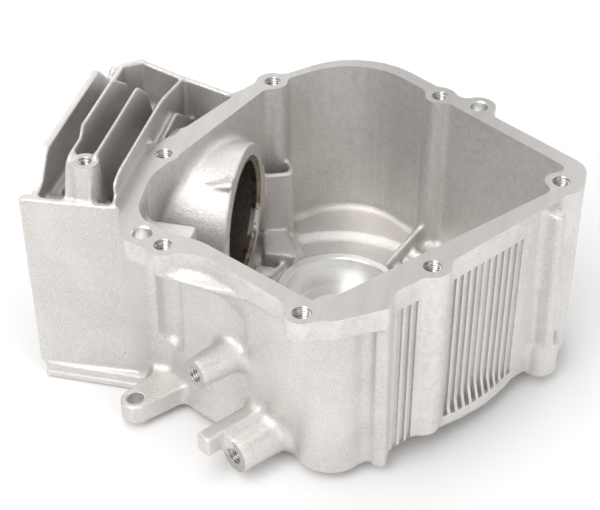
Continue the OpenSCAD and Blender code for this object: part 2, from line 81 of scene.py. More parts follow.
# Tapped holes: places, depths, thread sizes
FLANGE_HOLES = [
    (-50.4, 59.7), (40, 64.9), (109.9, -2), (59.3, -83.5), (9.2, -129), (-64.1, -95.3), (-86.4, -21.9),
]
FLANGE_TAP = 20
HEAD_BOLT_HALF = 33
HEAD_TAP = 22
SIDE_ANGLE = math.radians(-126)
SIDE_AXIS = (math.cos(SIDE_ANGLE), math.sin(SIDE_ANGLE), 0)
SIDE_BOSSES = [((-45.9, -114.9, 30.3), 7.6), ((-24.8, -125.2, -8.8), 8.7)]
SIDE_TAP = 17
FIN_POST = (-112.6, -61.5, 106)
FIN_POST_R = 6.9
POST_TAP = 16
CORE_R = 3.4
PITCH = 1.25
POST_CORE_R = 2.5
POST_PITCH = 1.0
THREAD_DEPTH = 0.6
THREAD_LEN = 12
TAP_MOUTH = 0.35
TAP_OVER = 0.05
SLEEVE_WALL = 0.15
RUN_OUT = 0.02
WAVE_GAIN = 1.3
CREST_FLAT = 0.1
DRILL_HALF_ANGLE = math.radians(59)

# Grooves of the ribbed wall: its start and direction in plan, then radius, depth, pitch and heights
RIBBED_START = (54, -95.8)
RIBBED_ANGLE = math.radians(54)
RIBBED_LINE = (math.cos(RIBBED_ANGLE), math.sin(RIBBED_ANGLE))
RIBBED_OUT = (math.sin(RIBBED_ANGLE), -math.cos(RIBBED_ANGLE))
GROOVE_R = 1.4
GROOVE_DEPTH = 1.82
GROOVE_OPEN = 3.5
GROOVE_PITCH = 4.6
GROOVE_RUNS = [(25.5, 11), (-8.5, 3)]
GROOVE_LOW = -8
GROOVE_TOP = 77

# Wedge on the barrel's end, each point by place along the bore, degrees from the top and radius
WEDGE_POINTS = [(-67, 33, 39.4), (-51.1, 24, 39.2), (-51.1, 30, 43.1), (-51.1, 39.5, 39.2), (-53, 32, 36)]
WEDGE_FACES = [(0, 1, 2), (0, 2, 3), (1, 3, 2), (0, 3, 4), (0, 4, 1), (1, 4, 3)]

# Plugs that fill the machined bores of the blank: how much wider than the bore, and where they end
SEAT_PLUG_WIDER = 1.5
SEAT_PLUG_LOWER = 0.5
SEAT_PLUG_CONE_Z = -8
LINER_PLUG_WIDER = 0.2
LINER_PLUG_DECK = 0.5
LINER_PLUG_END = 0.1

# Machining: metal left for it, reach of the cutters and where they cut
STOCK = 3.0
ON_FACE = 0.02
GASKET_OVER = 4
GASKET_CUT = [
    (-95.55, -22.4), (-64, 52), (-64, 72), (-12, 112), (40, 124), (140, 30),
    (140, -30), (60, -120), (30, -150), (-20, -150), (-95.55, -110),
]
HEAD_OVER = 8
HEAD_CUT_Y = (-70.55, 60)
HEAD_CUT_Z = (-40, 120)
BOSS_CUT_WIDER = 1.2
BOSS_CUT_TOP = 8
FACE_PROUD = 0.05
FACE_ROOT = 2.5
SIDE_FACE_INSET = 0.15
POST_FACE_INSET = 0.1
BEARING_CHAMFER = 0.6
BEARING_CUT_TOP = 6
BEARING_CUT_LOW = REST_Z - 2
LINER_CUT_X = (DECK_X - 6, BARREL_END_X + 4)
EAR_CUT_Z = (-40, 20)
CAM_CUT_Z = (-30, 10)
DRILL_TOP = 4
DRILL_POINT_R = 0.01

# Rounding of the casting, on cells of VOXEL: radii, and the block of cells that holds the casting
VOXEL = 0.7 * MM
GRID_LOW = (-216, -208, -44)
GRID_SIZE = (402, 370, 218)
BIG_FILLET = 4.2 * MM
SMALL_FILLET = 1.2 * MM
EDGE_ROUND = 0.7 * MM
CASTING_TRIANGLES = 120000

# Where the corners stay small: ends of the region and width of the change, in mm
FILLETS_FROM_X = (-88, 4)
GROOVED_DEPTH = (-4.2, 1.5)
GROOVED_START = (-12, 4)
GROOVED_END = (82, 4)
CRISP_BOXES = [
    ((-56, 38, -4), (-36, 62, 60), 2, 1.0),
    ((-70, -30, 68), (-48, -12, 84), 3, 0.8),
    ((104, -42, -30), (126, 2, 40), 4, 1.0),
]
FLOOR_BOX = ((-70, -70, -30), (70, 70, 12), 4)
FLOOR_REACH = (57, 6)
FLOOR_LOSS = 0.85

# The near plate, which the die presses in all round its insert
PLATE_BACK_Y = (-66, 1)
PLATE_FADE_X = (-80, 24)
INSERT_END_X = (-98.6, 0.8)
INSERT_LOW_Z = (36.5, 0.8)
INSERT_STEP = 0.35

# Painted shade between the fins: one coarse cell is COARSE cells, and shares of open sky
COARSE = 3
PROBE_OUT = 1.5
OPEN_SKY = 0.34
CLOSED_SKY = 0.10
SMOOTH_REACHES = (1, 2)
FINS_END_X = (-80, 6)
DIRECTIONS = [d for d in itertools.product((-1, 0, 1), repeat=3) if any(d)]

# Finishes of the casting, in the order of its material slots
AS_CAST, MILLED, BORED, DRILLED = range(4)
FACING = 0.9
BORED_EDGE = 0.6
BORED_TOP_Z = 0.05
SEAL_FACE = 0.2
TAPPED_EDGE = 0.98
TIP_ROOM = 4
DOWEL_FLOOR = 13
FACE_BAND = 0.03
SHARP_ANGLE = math.radians(32)

# Bead of sealant: its line, and where it is thicker, by place along it, height and sharpness
BEAD_PATH = [(-49.5, 42.2, 4.2), (-46.5, 42.4, 4.5), (-43.5, 43.0, 4.4), (-40.8, 43.8, 4.3), (-39.3, 44.6, 4.3)]
BEAD_LUMPS = [(0.3, 0.45, 6), (3.8, 0.35, 8)]
BEAD_R = 0.75
BEAD_WAVE = 0.25
BEAD_WAVE_TURNS = 4.1
BEAD_TIP = 0.15
BEAD_TAPER = 3
BEAD_RINGS = 40
BEAD_SEGMENTS = 14

# Colours of the casting
CAST_LIGHT, CAST_DARK = (0.75, 0.725, 0.70, 1), (0.67, 0.643, 0.62, 1)
GRAIN_LIGHT, GRAIN_DARK = (0.97, 0.95, 0.93, 1), (0.40, 0.375, 0.35, 1)
# Painted shade that darkens the casting between the fins
PAINTED_SHADE_DARK = (0.17, 0.155, 0.14, 1)
# Painted shade that darkens the creases
CREASE_SHADE = (0.50, 0.47, 0.45, 1)
WORN_EDGE = (0.86, 0.85, 0.84, 1)
PIT_DARK = (0.14, 0.12, 0.11, 1)
MILLED_DARK, MILLED_LIGHT = (0.46, 0.445, 0.43, 1), (0.50, 0.487, 0.472, 1)
MILLED_STAIN, MILLED_PIT = (0.50, 0.475, 0.45, 1), (0.16, 0.13, 0.11, 1)
TURNED_DARK, TURNED_LIGHT = (0.90, 0.89, 0.88, 1), (0.97, 0.965, 0.955, 1)
TURNED_STAIN = (0.55, 0.52, 0.49, 1)
DRILLED_DARK, DRILLED_LIGHT = (0.50, 0.48, 0.46, 1), (0.66, 0.645, 0.63, 1)

# Colours of the liner and the sealant
HONED_DARK, HONED_LIGHT = (0.165, 0.15, 0.13, 1), (0.46, 0.43, 0.39, 1)
BAND_IRON, BAND_RUST = (0.26, 0.215, 0.17, 1), (0.11, 0.06, 0.035, 1)
# Painted highlight on the band at the liner's open end
BAND_HIGHLIGHT = (0.97, 0.93, 0.88, 1)
AMBER_DARK, AMBER_LIGHT = (0.30, 0.15, 0.02, 1), (0.62, 0.40, 0.10, 1)

# Honing lines, and the band at the liner's open end with a painted highlight across it
HONE_SLOPE = 0.55
HONE_STRETCH = 0.06
BAND_LEN = 4.2
BAND_EDGE = 0.2
HIGHLIGHT_TOP = (29, 25)
HIGHLIGHT_FOOT = (15, 18)
HIGHLIGHT_RAGGED = 22

# Studio, in metres: lamps by name, place, size and power, and the camera's axes and place
SKY_STRENGTH = 0.52
PAPER = (0.90, 0.90, 0.90, 1)
FLOOR_HALF = 4
LAMPS = [
    ("key", (-0.40, -0.78, 1.00), 0.9, 8.0),
    ("top", (-0.20, -0.10, 1.30), 0.8, 4.0),
    ("side", (0.95, -0.85, 0.50), 0.8, 3.6),
    ("back", (-0.55, 1.00, 0.90), 0.9, 2.8),
    ("back_right", (0.45, 1.10, 0.85), 0.9, 3.0),
]
LAMP_AIM = (0, 0, 0.03)
LENS_MM = 88.8
SENSOR_MM = 36
CAMERA_RIGHT = (0.97437, 0.22495, 0)
CAMERA_UP = (-0.13538, 0.58639, 0.79864)
CAMERA_AHEAD = (-0.17965, 0.77816, -0.60182)
CAMERA_PLACE = (0.12029, -0.61332, 0.49468)
CAMERA_CLIP = (0.05, 20)


# Meshes


def new_mesh(name, points, faces):
    """An object from points and faces that all have the same number of corners."""
    faces = np.asarray(faces, np.int32)
    mesh = bpy.data.meshes.new(name)
    mesh.vertices.add(len(points))
    mesh.vertices.foreach_set("co", np.asarray(points, np.float32).ravel())
    mesh.loops.add(faces.size)
    mesh.loops.foreach_set("vertex_index", faces.ravel())
    mesh.polygons.add(len(faces))
    mesh.polygons.foreach_set("loop_start", np.arange(len(faces), dtype=np.int32) * faces.shape[1])
    mesh.update(calc_edges=True)
    made = bpy.data.objects.new(name, mesh)
    bpy.context.scene.collection.objects.link(made)
    return made


def triangles_of(obj):
    """Points and triangles of an object's own mesh."""
    mesh = obj.data
    mesh.calc_loop_triangles()
    points = np.empty(len(mesh.vertices) * 3, np.float32)
    mesh.vertices.foreach_get("co", points)
    corners = np.empty(len(mesh.loop_triangles) * 3, np.int32)
    mesh.loop_triangles.foreach_get("vertices", corners)
    return points.reshape(-1, 3), corners.reshape(-1, 3)


def merged(points, triangles, step=1e-6):
    """The same surface with points at one place made one point, and no face of zero width."""
    keys = np.round(points / step).astype(np.int64)
    _, first, index = np.unique(keys, axis=0, return_index=True, return_inverse=True)
    triangles = index.reshape(-1)[triangles]
    a, b, c = triangles.T
    return points[first], triangles[(a != b) & (b != c) & (c != a)]


def outward(points, faces):
    """Faces turned so that the enclosed volume is positive."""
    a, b, c = points[faces[:, 0]], points[faces[:, 1]], points[faces[:, 2]]
    return faces if np.einsum("ij,ij->i", a, np.cross(b, c)).sum() > 0 else faces[:, ::-1]


def ring_walls(rings, segments, looped=False):
    """Triangles between each ring of points and the next: corner (i, j) joins (i, j + 1), (i + 1, j + 1)
    and (i + 1, j), with j going round. A looped grid joins its last ring to its first."""
    i, j = np.meshgrid(np.arange(rings if looped else rings - 1), np.arange(segments), indexing="ij")
    down, beside = (i + 1) % rings, (j + 1) % segments
    p, q, r, s = (a * segments + b for a, b in ((i, j), (i, beside), (down, beside), (down, j)))
    return np.vstack([np.stack([p, q, r], -1).reshape(-1, 3), np.stack([p, r, s], -1).reshape(-1, 3)])


def capped(grid, poles):
    """A closed skin over a grid of rings, with fans from its first and last ring to the two poles, in mm."""
    rings, segments = grid.shape[:2]
    points = np.vstack([grid.reshape(-1, 3), poles]) * MM
    j = np.arange(segments)
    k = (j + 1) % segments
    last = (rings - 1) * segments
    low = np.stack([k, j, np.full(segments, len(points) - 2)], -1)
    high = np.stack([last + j, last + k, np.full(segments, len(points) - 1)], -1)
    return points, outward(points, np.vstack([ring_walls(rings, segments), low, high]))


def frame_of(axis):
    """The axis at unit length, and two directions square to it and to each other."""
    axis = np.asarray(axis, float) / np.linalg.norm(axis)
    side = np.cross(axis, [0, 0, 1]) if abs(axis[2]) < 0.9 else np.cross(axis, [1, 0, 0])
    side /= np.linalg.norm(side)
    return axis, side, np.cross(axis, side)


def circle(side, other, segments):
    """Unit vectors round a circle: side * cos a + other * sin a."""
    a = np.linspace(0, 2 * np.pi, segments, endpoint=False)
    return np.cos(a)[:, None] * side + np.sin(a)[:, None] * other


def turned(profile, foot, axis=UP, segments=96):
    """A turned solid: point = foot + t * axis + r * (cos a, sin a), for each (t, r) of a profile from pole to
    pole, in mm."""
    profile, foot = np.asarray(profile, float), np.asarray(foot, float)
    axis, side, other = frame_of(axis)
    t, r = profile[:, 0, None, None], profile[:, 1, None, None]
    grid = t * axis + r * circle(side, other, segments)
    return capped(grid + foot, profile[[0, -1], 0, None] * axis + foot)


def prism(outline, z0, z1):
    """A solid of even plan, in mm: each (x, y) of an outline that a fan from its middle covers, at height z0
    and again at z1."""
    outline = np.asarray(outline, float)
    middle = outline.mean(axis=0)
    grid = np.stack([np.c_[outline, np.full(len(outline), z)] for z in (z0, z1)])
    return capped(grid, [(*middle, z0), (*middle, z1)])


def together(*solids):
    """Several closed surfaces as one list of points and faces."""
    points, faces, count = [], [], 0
    for p, f in solids:
        points.append(p)
        faces.append(f + count)
        count += len(p)
    return np.vstack(points), np.vstack(faces)


def settle(obj):
    """Gives an object the mesh that its modifiers make, and takes the modifiers off."""
    graph = bpy.context.evaluated_depsgraph_get()
    mesh = bpy.data.meshes.new_from_object(obj.evaluated_get(graph), depsgraph=graph)
    old = obj.data
    obj.modifiers.clear()
    obj.data = mesh
    bpy.data.meshes.remove(old)


def drop(obj):
    """Removes a helper object and its mesh."""
    mesh = obj.data
    bpy.data.objects.remove(obj)
    bpy.data.meshes.remove(mesh)


def combine(obj, solid, operation):
    """Joins a closed surface to an object (UNION) or cuts it away (DIFFERENCE)."""
    tool = new_mesh("tool", *solid)
    step = obj.modifiers.new(operation, "BOOLEAN")
    step.operation = operation
    step.solver = "MANIFOLD"
    step.object = tool
    settle(obj)
    drop(tool)


# Distances


def level_set(points, faces, reach):
    """The distance to a closed surface, negative inside it, known within reach of it."""
    corners = "quads" if faces.shape[1] == 4 else "triangles"
    return openvdb.FloatGrid.createLevelSetFromPolygons(
        points.astype(np.float32),
        transform=openvdb.createLinearTransform(voxelSize=VOXEL),
        halfWidth=reach / VOXEL + 2.0,
        **{corners: faces.astype(np.uint32)},
    )


def surface(grid, distance=0.0):
    """Points and outward quads of the surface that lies the distance outside the grid's own."""
    points, quads = grid.convertToQuads(isovalue=distance)
    return points, quads[:, ::-1]


def as_array(grid):
    """The grid's distances as one block of numbers that covers the casting."""
    block = np.empty(GRID_SIZE, np.float32)
    grid.copyToArray(block, ijk=GRID_LOW)
    return block


def as_grid(block, band):
    """A block of distances as a grid again, with everything further than band left out."""
    grid = openvdb.FloatGrid(band)
    grid.transform = openvdb.createLinearTransform(voxelSize=VOXEL)
    grid.copyFromArray(np.clip(block, -band, band), ijk=GRID_LOW, tolerance=1e-7)
    return grid


def closed_by(sharp, radius):
    """Distances to the shape whose inner corners are rounded: out by the radius, then in by it."""
    return as_array(level_set(*surface(sharp, radius), radius + 2 * VOXEL)) + np.float32(radius)


def cell_axes():
    """The cells' places along x, y and z in mm, shaped to combine into a block."""
    axes = []
    for k in range(3):
        places = (GRID_LOW[k] + np.arange(GRID_SIZE[k])) * (VOXEL / MM)
        axes.append(places.reshape([-1 if j == k else 1 for j in range(3)]).astype(np.float32))
    return axes


def soft_step(value, edge, width):
    """0 below the edge and 1 above it: 3 t^2 - 2 t^3 across the given width, in mm."""
    t = np.clip((value - edge) / width + 0.5, 0, 1)
    return (t * t * (3 - 2 * t)).astype(np.float32)


def soft_box(axes, low, high, width):
    """1 inside a box and 0 outside it, in mm."""
    inside = np.float32(1)
    for value, a, b in zip(axes, low, high):
        inside = inside * soft_step(value, a, width) * (1 - soft_step(value, b, width))
    return inside


def wide_fillet_share():
    """Where the casting has its wide fillets: everywhere but at the fins, the grooves, the oil pocket, the
    barrel's crown, the foot of the right end and the floor ribs."""
    axes = cell_axes()
    x, y, _ = axes
    from_x, from_y = x - RIBBED_START[0], y - RIBBED_START[1]
    along = from_x * RIBBED_LINE[0] + from_y * RIBBED_LINE[1]
    depth = from_x * RIBBED_OUT[0] + from_y * RIBBED_OUT[1]
    grooved = soft_step(depth, *GROOVED_DEPTH) * soft_step(along, *GROOVED_START)
    grooved = grooved * (1 - soft_step(along, *GROOVED_END))
    share = (1 - grooved) * soft_step(x, *FILLETS_FROM_X)
    for low, high, width, loss in CRISP_BOXES:
        share = share * (1 - loss * soft_box(axes, low, high, width))
    near_crank = 1 - soft_step(np.hypot(x, y), *FLOOR_REACH)
    return share * (1 - near_crank * soft_box(axes, *FLOOR_BOX) * FLOOR_LOSS)


def insert_step():
    """How far the die presses the near plate in below and beside its insert, in mm, fading out towards the
    crankcase."""
    x, y, z = cell_axes()
    plate = (1 - soft_step(y, *PLATE_BACK_Y)) * (1 - soft_step(x, *PLATE_FADE_X))
    insert = (1 - soft_step(x, *INSERT_END_X)) * soft_step(z, *INSERT_LOW_Z)
    return plate * (1 - insert) * INSERT_STEP


# Casting


def blank_for_machining():
    """The CAD casting with stock left on its gasket face and head face, and its machined bores filled."""
    points, faces = merged(*triangles_of(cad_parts["block_casting"]))
    on_gasket = np.abs(points[:, 2] - GASKET_Z * MM) < ON_FACE * MM
    on_deck = np.abs(points[:, 0] - DECK_X * MM) < ON_FACE * MM
    points[on_gasket, 2] += STOCK * MM
    points[on_deck, 0] -= STOCK * MM
    blank = new_mesh("casting", points, faces)
    seat = [
        (-BEARING_LEN - SEAT_PLUG_LOWER, BEARING_R + SEAT_PLUG_WIDER),
        (SEAT_PLUG_CONE_Z, BOSS_TOP_R),
        (STOCK, BOSS_TOP_R),
    ]
    combine(blank, turned(seat, CRANK_FOOT), "UNION")
    liner_r = LINER_R + LINER_PLUG_WIDER
    liner = [(DECK_X + LINER_PLUG_DECK, liner_r), (BARREL_END_X - LINER_PLUG_END, liner_r)]
    combine(blank, turned(liner, BORE_FOOT, BORE_AXIS), "UNION")
    return blank


def cast_blank():
    """The blank with the fillets and soft edges of a casting: distance = small + share * (wide - small), and
    then its outer edges rounded, in by the radius and out again."""
    blank = blank_for_machining()
    sharp = level_set(*triangles_of(blank), BIG_FILLET)
    drop(blank)
    small = closed_by(sharp, SMALL_FILLET)
    block = closed_by(sharp, BIG_FILLET)
    block -= small
    block *= wide_fillet_share()
    block += small
    block += insert_step() * np.float32(MM)
    # Share of sky seen from each coarse cell, for the painted shade between the fins
    share = sky_share(block)
    rounded_in = surface(as_grid(block, 3 * VOXEL), -EDGE_ROUND)
    points, faces = surface(level_set(*rounded_in, EDGE_ROUND), EDGE_ROUND)
    made = new_mesh("casting", points, faces)
    thin = made.modifiers.new("thin", "DECIMATE")
    thin.ratio = CASTING_TRIANGLES / (2 * len(faces))
    thin.use_collapse_triangulate = True
    settle(made)
    mark_recesses(made, share)
    return made


def sky_share(block):
    """For each coarse cell, the share of all directions in which no metal lies: a sweep from the far side, one
    slice at a time, where a cell is lit if it is clear and the cell before it was lit."""
    solid = block[::COARSE, ::COARSE, ::COARSE] < 0
    seen = np.zeros(solid.shape, np.float32)
    for step in DIRECTIONS:
        main = next(k for k in range(3) if step[k])
        clear = np.moveaxis(~solid, main, 0)
        shift = [-step[k] for k in range(3) if k != main]
        order = range(len(clear)) if step[main] < 0 else range(len(clear) - 1, -1, -1)
        lit = np.ones(clear.shape, bool)
        before = np.ones(clear.shape[1:], bool)
        for i in order:
            before = np.roll(before, shift, (0, 1)) & clear[i]
            lit[i] = before
        seen += np.moveaxis(lit, 0, main)
    return seen / len(DIRECTIONS)


def mark_recesses(casting, share):
    """Stores the painted shade of each point between the fins, 1 where little sky is seen and 0 in the open: the
    smoothed share of sky, blended from the eight coarse cells round a probe just off the surface."""
    mesh = casting.data
    n = len(mesh.vertices)
    place, normal = np.empty(n * 3, np.float32), np.empty(n * 3, np.float32)
    mesh.vertices.foreach_get("co", place)
    mesh.vertices.foreach_get("normal", normal)
    place, normal = place.reshape(-1, 3), normal.reshape(-1, 3)
    for reach in SMOOTH_REACHES:
        moved = [np.roll(share, reach * s, k) for k in range(3) for s in (-1, 0, 1)]
        share = sum(moved) / len(moved)
    probe = (place + normal * (PROBE_OUT * COARSE * VOXEL)) / VOXEL - np.array(GRID_LOW)
    low = np.clip(np.floor(probe / COARSE).astype(int), 0, np.array(share.shape) - 2)
    part = np.clip(probe / COARSE - low, 0, 1)
    seen = np.zeros(n, np.float32)
    for corner in itertools.product((0, 1), repeat=3):
        weight = np.prod(np.where(corner, part, 1 - part), axis=1)
        seen += weight * share[tuple((low + corner).T)]
    shade_amount = np.clip((OPEN_SKY - seen) / (OPEN_SKY - CLOSED_SKY), 0, 1)
    shade_amount *= 1 - soft_step(place[:, 0] / MM, *FINS_END_X)
    mesh.attributes.new("recess", "FLOAT", "POINT").data.foreach_set("value", shade_amount.astype(np.float32))


def groove(along):
    """A groove of the ribbed wall: a U in plan, half a circle at its bottom, standing from the base to the
    flange."""
    a = np.linspace(-np.pi / 2, np.pi / 2, 13)
    u = np.append(GROOVE_R * np.sin(a), [GROOVE_R, -GROOVE_R]) + along
    v = np.append(-GROOVE_R * np.cos(a), [GROOVE_OPEN, GROOVE_OPEN]) - GROOVE_DEPTH + GROOVE_R
    plan = np.array(RIBBED_START) + u[:, None] * np.array(RIBBED_LINE) + v[:, None] * np.array(RIBBED_OUT)
    return prism(plan, GROOVE_LOW, GROOVE_TOP)


def cut_grooves(casting):
    """Cuts each run of grooves, at even pitch from its first."""
    places = [first + GROOVE_PITCH * i for first, count in GROOVE_RUNS for i in range(count)]
    combine(casting, together(*map(groove, places)), "DIFFERENCE")


def barrel_wedge():
    """The crisp wedge on the barrel's end: each point is (x, -r sin a, r cos a) from the bore's axis."""
    x, angle, r = np.array(WEDGE_POINTS).T
    angle = np.radians(angle)
    points = np.stack([x, -r * np.sin(angle), BORE_Z + r * np.cos(angle)], -1) * MM
    return points, outward(points - points.mean(axis=0), np.array(WEDGE_FACES))


def faced_bosses():
    """Place, axis and radius of each small boss that is faced, and how far its face stays inside that radius."""
    bosses = [(place, SIDE_AXIS, radius, SIDE_FACE_INSET) for place, radius in SIDE_BOSSES]
    return bosses + [(FIN_POST, UP, FIN_POST_R, POST_FACE_INSET)]


def threaded_holes():
    """Place, axis, core radius and depth of each tapped hole."""
    holes = [((x, y, GASKET_Z), UP, CORE_R, FLANGE_TAP) for x, y in FLANGE_HOLES]
    holes += [(place, SIDE_AXIS, CORE_R, SIDE_TAP) for place, _ in SIDE_BOSSES]
    holes += [(FIN_POST, UP, POST_CORE_R, POST_TAP)]
    for y, z in itertools.product((-HEAD_BOLT_HALF, HEAD_BOLT_HALF), repeat=2):
        holes.append(((DECK_X, y, BORE_Z + z), (-1, 0, 0), CORE_R, HEAD_TAP))
    return holes


def drill(place, axis, radius, depth, mouth):
    """A round hole: radius + mouth wide at the surface, then radius, down to a cone of 118 degrees."""
    tip, wide = radius / math.tan(DRILL_HALF_ANGLE), radius + mouth
    profile = [(-depth - tip, DRILL_POINT_R), (-depth, radius), (-mouth, radius), (0, wide), (DRILL_TOP, wide)]
    return turned(profile, place, axis, segments=40)


def thread(place, axis, depth, core, pitch, segments=24, steps=6):
    """A threaded sleeve for a drilled hole: inner radius = core + thread depth * a triangle wave of
    (t / pitch - angle / turn), its crests and roots cut flat, and a plain wall outside it."""
    axis, side, other = frame_of(axis)
    major = core + THREAD_DEPTH
    top = -THREAD_DEPTH - SLEEVE_WALL
    t = np.linspace(-depth, top, int((depth + top) / pitch * steps))
    turn = np.arange(segments) / segments
    wave = np.abs(((t[:, None] / pitch - turn) % 1) * 2 - 1)
    inner = core + THREAD_DEPTH * np.clip(wave * WAVE_GAIN - CREST_FLAT, 0, 1)
    inner[-1] = major - RUN_OUT
    ring = circle(side, other, segments)
    wall_in = t[:, None, None] * axis + inner[..., None] * ring
    wall_out = t[[-1, 0], None, None] * axis + (major + SLEEVE_WALL) * ring
    grid = np.concatenate([wall_in, wall_out]) + np.asarray(place, float)
    points = grid.reshape(-1, 3) * MM
    return points, outward(points, ring_walls(len(grid), segments, looped=True))


def bores():
    """The bearing seat with its undercut and seal bore, the liner's seat, and all plain and tapping holes."""
    seat_low, undercut_low = -BEARING_LEN, -BEARING_LEN - UNDERCUT_LEN
    seal_r, undercut_r = SEAL_R + BORE_OVER, UNDERCUT_R + BORE_OVER
    mouth_r = BEARING_R + 2 * BEARING_CHAMFER
    bearing = [
        (BEARING_CUT_LOW, seal_r), (undercut_low, seal_r), (undercut_low, undercut_r), (seat_low, undercut_r),
        (seat_low, BEARING_R), (-BEARING_CHAMFER, BEARING_R), (BEARING_CHAMFER, mouth_r), (BEARING_CUT_TOP, mouth_r),
    ]
    cuts = [
        turned(bearing, CRANK_FOOT, segments=160),
        turned([(x, LINER_R) for x in LINER_CUT_X], BORE_FOOT, BORE_AXIS, segments=160),
        turned([(z, EAR_R + BORE_OVER) for z in EAR_CUT_Z], (*EAR_HOLE, 0), segments=40),
        turned([(z, CAM_R + BORE_OVER) for z in CAM_CUT_Z], (*CAM_AXIS, 0), segments=48),
    ]
    dowel_r = DOWEL_R + BORE_OVER
    cuts += [drill((x, y, GASKET_Z), UP, dowel_r, DOWEL_DEPTH, DOWEL_MOUTH) for x, y in DOWEL_HOLES]
    for place, axis, core, depth in threaded_holes():
        cuts.append(drill(place, axis, core + THREAD_DEPTH + TAP_OVER, depth, TAP_MOUTH))
    return cuts


def threads():
    """The thread of each tapped hole."""
    sleeves = []
    for place, axis, core, depth in threaded_holes():
        pitch = PITCH if core == CORE_R else POST_PITCH
        sleeves.append(thread(place, axis, min(depth - 1, THREAD_LEN), core, pitch))
    return sleeves


def machine(casting):
    """Faces the gasket, head and boss faces, then bores, drills and taps, as the shop does after casting."""
    combine(casting, prism(GASKET_CUT, GASKET_Z, GASKET_Z + GASKET_OVER + STOCK), "DIFFERENCE")
    (y0, y1), over = HEAD_CUT_Y, DECK_X - HEAD_OVER
    combine(casting, prism([(over, y0), (DECK_X, y0), (DECK_X, y1), (over, y1)], *HEAD_CUT_Z), "DIFFERENCE")
    boss_r = BOSS_TOP_R + BOSS_CUT_WIDER
    combine(casting, turned([(0, boss_r), (BOSS_CUT_TOP, boss_r)], CRANK_FOOT), "DIFFERENCE")
    faced = [
        turned([(-FACE_ROOT, radius - inset), (FACE_PROUD, radius - inset)], place, axis)
        for place, axis, radius, inset in faced_bosses()
    ]
    combine(casting, together(*faced, barrel_wedge()), "UNION")
    combine(casting, together(*bores()), "DIFFERENCE")
    combine(casting, together(*threads()), "UNION")


# Nodes and groups


class Nodes:
    """Short calls to make and join shader nodes. A value may be a number, a colour or another node's output."""

    def __init__(self, tree):
        self.tree = tree

    def add(self, kind, **values):
        node = self.tree.nodes.new(kind)
        for key, value in values.items():
            setattr(node, key, value)
        return node

    def link(self, a, b):
        self.tree.links.new(a, b)

    def put(self, socket, value):
        if isinstance(value, bpy.types.NodeSocket):
            self.link(value, socket)
        else:
            socket.default_value = value

    def math(self, operation, a, b=0.0):
        node = self.add("ShaderNodeMath", operation=operation)
        self.put(node.inputs[0], a)
        self.put(node.inputs[1], b)
        return node.outputs[0]

    def times(self, a, b):
        return self.math("MULTIPLY", a, b)

    def noise(self, vector, scale, detail=2.0, rough=0.5, distortion=0.0):
        node = self.add("ShaderNodeTexNoise")
        self.put(node.inputs["Vector"], vector)
        self.put(node.inputs["Scale"], scale)
        node.inputs["Detail"].default_value = detail
        node.inputs["Roughness"].default_value = rough
        node.inputs["Distortion"].default_value = distortion
        return node.outputs["Fac"]

    def cells(self, vector, scale):
        node = self.add("ShaderNodeTexVoronoi")
        self.put(node.inputs["Vector"], vector)
        self.put(node.inputs["Scale"], scale)
        return node.outputs["Distance"]

    def ramp(self, value, low, high, a=0.0, b=1.0):
        """a at low and b at high, straight between them and flat outside."""
        node = self.add("ShaderNodeMapRange", clamp=True)
        self.put(node.inputs["Value"], value)
        for name, v in (("From Min", low), ("From Max", high), ("To Min", a), ("To Max", b)):
            self.put(node.inputs[name], v)
        return node.outputs["Result"]

    def mix(self, factor, a, b):
        """Colour a where the factor is 0 and b where it is 1."""
        node = self.add("ShaderNodeMix", data_type="RGBA")
        self.put(node.inputs[0], factor)
        self.put(node.inputs[6], a)
        self.put(node.inputs[7], b)
        return node.outputs[2]

    def split(self, vector):
        node = self.add("ShaderNodeSeparateXYZ")
        self.put(node.inputs[0], vector)
        return node.outputs

    def join(self, x, y):
        node = self.add("ShaderNodeCombineXYZ")
        self.put(node.inputs[0], x)
        self.put(node.inputs[1], y)
        return node.outputs[0]

    def mapping(self, vector, scale, turn):
        node = self.add("ShaderNodeMapping")
        self.put(node.inputs["Vector"], vector)
        node.inputs["Rotation"].default_value = turn
        node.inputs["Scale"].default_value = scale
        return node.outputs[0]

    def bump(self, height, distance, strength=1.0):
        node = self.add("ShaderNodeBump")
        self.put(node.inputs["Height"], height)
        node.inputs["Distance"].default_value = distance
        node.inputs["Strength"].default_value = strength
        return node.outputs[0]

    def use(self, tree, **values):
        """A node group with its inputs set."""
        node = self.add("ShaderNodeGroup", node_tree=tree)
        for label, value in values.items():
            self.put(node.inputs[label], value)
        return node.outputs


def group(name, scale, outputs, fill):
    """A node group with a Position and a Scale, and named outputs of one number each; fill draws its inside."""
    tree = bpy.data.node_groups.new(name, "ShaderNodeTree")
    tree.interface.new_socket("Position", in_out="INPUT", socket_type="NodeSocketVector")
    size = tree.interface.new_socket("Scale", in_out="INPUT", socket_type="NodeSocketFloat")
    size.default_value = scale
    for label in outputs:
        tree.interface.new_socket(label, in_out="OUTPUT", socket_type="NodeSocketFloat")
    n = Nodes(tree)
    source, sink = n.add("NodeGroupInput").outputs, n.add("NodeGroupOutput").inputs
    for label, value in fill(n, source["Position"], source["Scale"]).items():
        n.link(value, sink[label])
    return tree


def cast_grain_inside(n, position, scale):
    """Height of fine die-cast grain, a slow tone change, light and dark specks, and small pits here and there."""
    fine = n.noise(position, scale, detail=3.0, rough=0.6)
    coarse = n.noise(position, n.times(scale, 0.28))
    speck = n.noise(position, n.times(scale, 1.6), detail=1.0)
    pit = n.cells(position, scale=240.0)
    where = n.noise(position, scale=34.0)
    return {
        "Height": n.math("ADD", n.times(fine, 0.6), n.times(coarse, 0.4)),
        "Tone": n.noise(position, scale=26.0, detail=3.0, rough=0.55, distortion=0.6),
        "Speck": n.ramp(speck, 0.35, 0.65),
        "Pits": n.times(n.ramp(pit, 0.10, 0.05), n.ramp(where, 0.60, 0.68)),
    }


